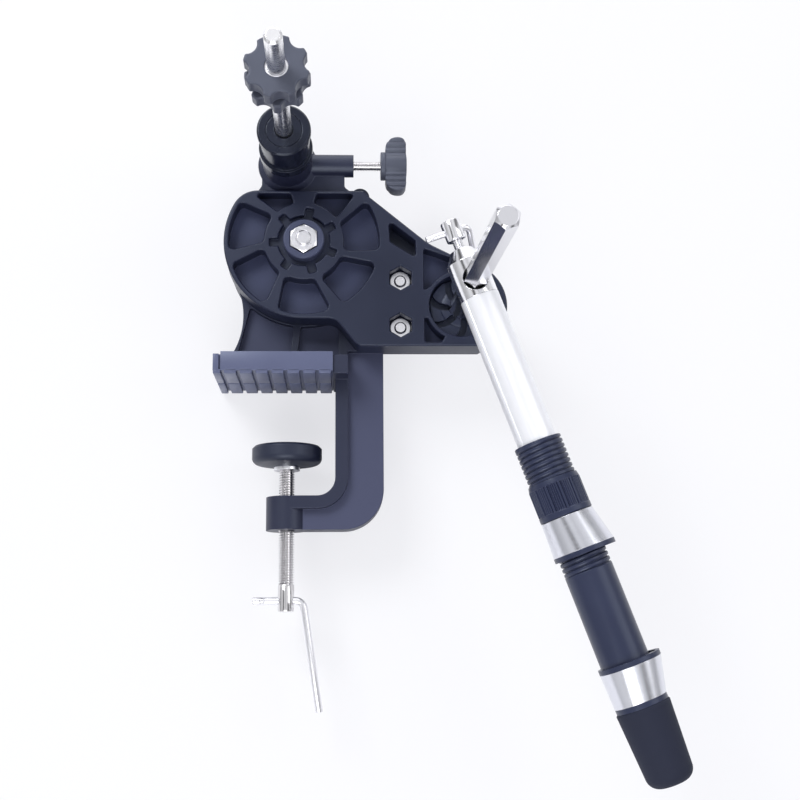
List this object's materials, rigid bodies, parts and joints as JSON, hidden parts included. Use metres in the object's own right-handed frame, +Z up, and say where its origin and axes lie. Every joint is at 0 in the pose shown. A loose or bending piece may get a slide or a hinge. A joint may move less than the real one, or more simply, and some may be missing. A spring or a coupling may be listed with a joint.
{
  "type": "fishing line winder",
  "caption": "Clamp-on fishing line winder: braked spool spindle with a star lock, ribbed cover, and a swinging arm on a hexagon bar that holds a reel seat.",
  "frame": {"origin": "underside of the jaw pad, on the clamp screw axis, which is the table top surface under the jaw", "axes": "+X towards the arm side, -Y along the spindle towards the user, +Z up with the jaw flat on a table"},
  "size_m": [0.219, 0.192, 0.3205],
  "materials": {
    "frame_plastic": "fine satin moulded grain",
    "pad_rubber": "matte",
    "zinc_steel": "zinc plated, satin",
    "bright_steel": "polished",
    "black_gloss": "glossy moulded",
    "knob_plastic": "satin",
    "rotor_plastic": "satin",
    "aluminium": "brushed tube",
    "seat_black": "semi-gloss",
    "hood_metal": "polished",
    "foam": "matte foam",
    "nylon": "plain"
  },
  "bodies": {
    "stand": {"clamp_frame": "frame_plastic", "jaw_pad": "pad_rubber", "front_cover": "frame_plastic", "rear_cover": "frame_plastic", "pivot_bolt": "zinc_steel", "pivot_cap": "rotor_plastic", "pivot_nut": "zinc_steel", "cover_bolts": "zinc_steel", "cover_nuts": "zinc_steel", "cover_screws": "zinc_steel", "spindle_bearings": "zinc_steel"},
    "spindle": {"spindle_shaft": "bright_steel", "brake_sleeve": "zinc_steel", "spindle_clip": "zinc_steel", "seat_drum": "black_gloss", "seat_washer": "zinc_steel", "spool_seat": "black_gloss"},
    "spool_lock": {"star_knob_lower": "knob_plastic", "collet": "zinc_steel"},
    "lock_ring": {"star_knob_upper": "knob_plastic"},
    "brake_tip": {"brake_shoe": "nylon"},
    "brake": {"brake_screw": "zinc_steel", "brake_knob": "knob_plastic"},
    "hub": {"hub_rotor": "rotor_plastic", "hex_bar": "bright_steel", "hub_spring": "zinc_steel", "hub_washer": "zinc_steel", "hub_bolt": "zinc_steel"},
    "arm": {"arm_head": "bright_steel", "arm_tube": "aluminium", "seat_barrel": "seat_black", "fixed_hood": "hood_metal", "fixed_liner": "seat_black", "butt_ring": "seat_black", "butt_grip": "foam"},
    "hood": {"sliding_hood": "hood_metal", "sliding_liner": "seat_black"},
    "nut": {"seat_nut": "seat_black"},
    "lock_tip": {"lock_pad": "nylon"},
    "arm_lock": {"lock_screw": "bright_steel"},
    "arm_lock_bar": {"lock_handle": "zinc_steel"},
    "foot": {"clamp_foot": "knob_plastic", "foot_collar": "zinc_steel"},
    "screw": {"clamp_screw": "zinc_steel"},
    "handle": {"clamp_handle": "zinc_steel"}
  },
  "joints": [
    {"name": "spindle_spin", "type": "hinge", "parent": "stand", "child": "spindle", "pos_m": [0, -0.06, 0.1095], "axis": [0, -1, 0], "continuous": true},
    {"name": "spool_lock_slide", "type": "slide", "parent": "spindle", "child": "spool_lock", "axis": [0, -1, 0], "range_m": [-0.0485, 0.025]},
    {"name": "lock_ring_turn", "type": "hinge", "parent": "spool_lock", "child": "lock_ring", "pos_m": [0, -0.134, 0.1095], "axis": [0, -1, 0], "range_deg": [-10, 60]},
    {"name": "brake_travel", "type": "slide", "parent": "stand", "child": "brake_tip", "axis": [1, 0, 0], "range_m": [-0.0002, 0.003]},
    {"name": "brake_turn", "type": "hinge", "parent": "brake_tip", "child": "brake", "pos_m": [0.04, -0.019, 0.1095], "axis": [1, 0, 0], "range_deg": [-80, 1340]},
    {"name": "arm_swing", "type": "hinge", "parent": "stand", "child": "hub", "pos_m": [0.0869, -0.025, 0.0348], "axis": [0, -1, 0], "range_deg": [-30, 150]},
    {"name": "arm_slide", "type": "slide", "parent": "hub", "child": "arm", "axis": [0.0593, -0.9982, 0], "range_m": [-0.01, 0.08]},
    {"name": "hood_travel", "type": "slide", "parent": "arm", "child": "hood", "axis": [0.3496, 0.0208, -0.9367], "range_m": [-0.018, 0.026]},
    {"name": "nut_turn", "type": "hinge", "parent": "hood", "child": "nut", "pos_m": [0.12779, -0.06364, -0.06823], "axis": [0.3496, 0.0208, -0.9367], "range_deg": [-2230, 3220]},
    {"name": "lock_travel", "type": "slide", "parent": "arm", "child": "lock_tip", "axis": [0.3496, 0.0208, -0.9367], "range_m": [-0.003, 0.0002]},
    {"name": "lock_turn", "type": "hinge", "parent": "lock_tip", "child": "arm_lock", "pos_m": [0.08234, -0.06634, 0.05353], "axis": [0.3496, 0.0208, -0.9367], "range_deg": [-1340, 80]},
    {"name": "lock_bar_slide", "type": "slide", "parent": "arm_lock", "child": "arm_lock_bar", "axis": [0.935, 0.0556, 0.3502], "range_m": [0, 0.0045]},
    {"name": "clamp_travel", "type": "slide", "parent": "stand", "child": "foot", "axis": [0, 0, 1], "range_m": [-0.0135, 0.03]},
    {"name": "clamp_turn", "type": "hinge", "parent": "foot", "child": "screw", "pos_m": [0, 0, -0.08], "axis": [0, 0, 1], "range_deg": [-3880, 8600]},
    {"name": "clamp_bar_slide", "type": "slide", "parent": "screw", "child": "handle", "axis": [1, 0, 0], "range_m": [0, 0.006]}
  ],
  "couplings": [
    {"joint": "brake_travel", "follows": "brake_turn", "m_per_rad": 0.00012732},
    {"joint": "hood_travel", "follows": "nut_turn", "m_per_rad": 0.00046155},
    {"joint": "lock_travel", "follows": "lock_turn", "m_per_rad": 0.00012732},
    {"joint": "clamp_travel", "follows": "clamp_turn", "m_per_rad": 0.00019894}
  ]
}
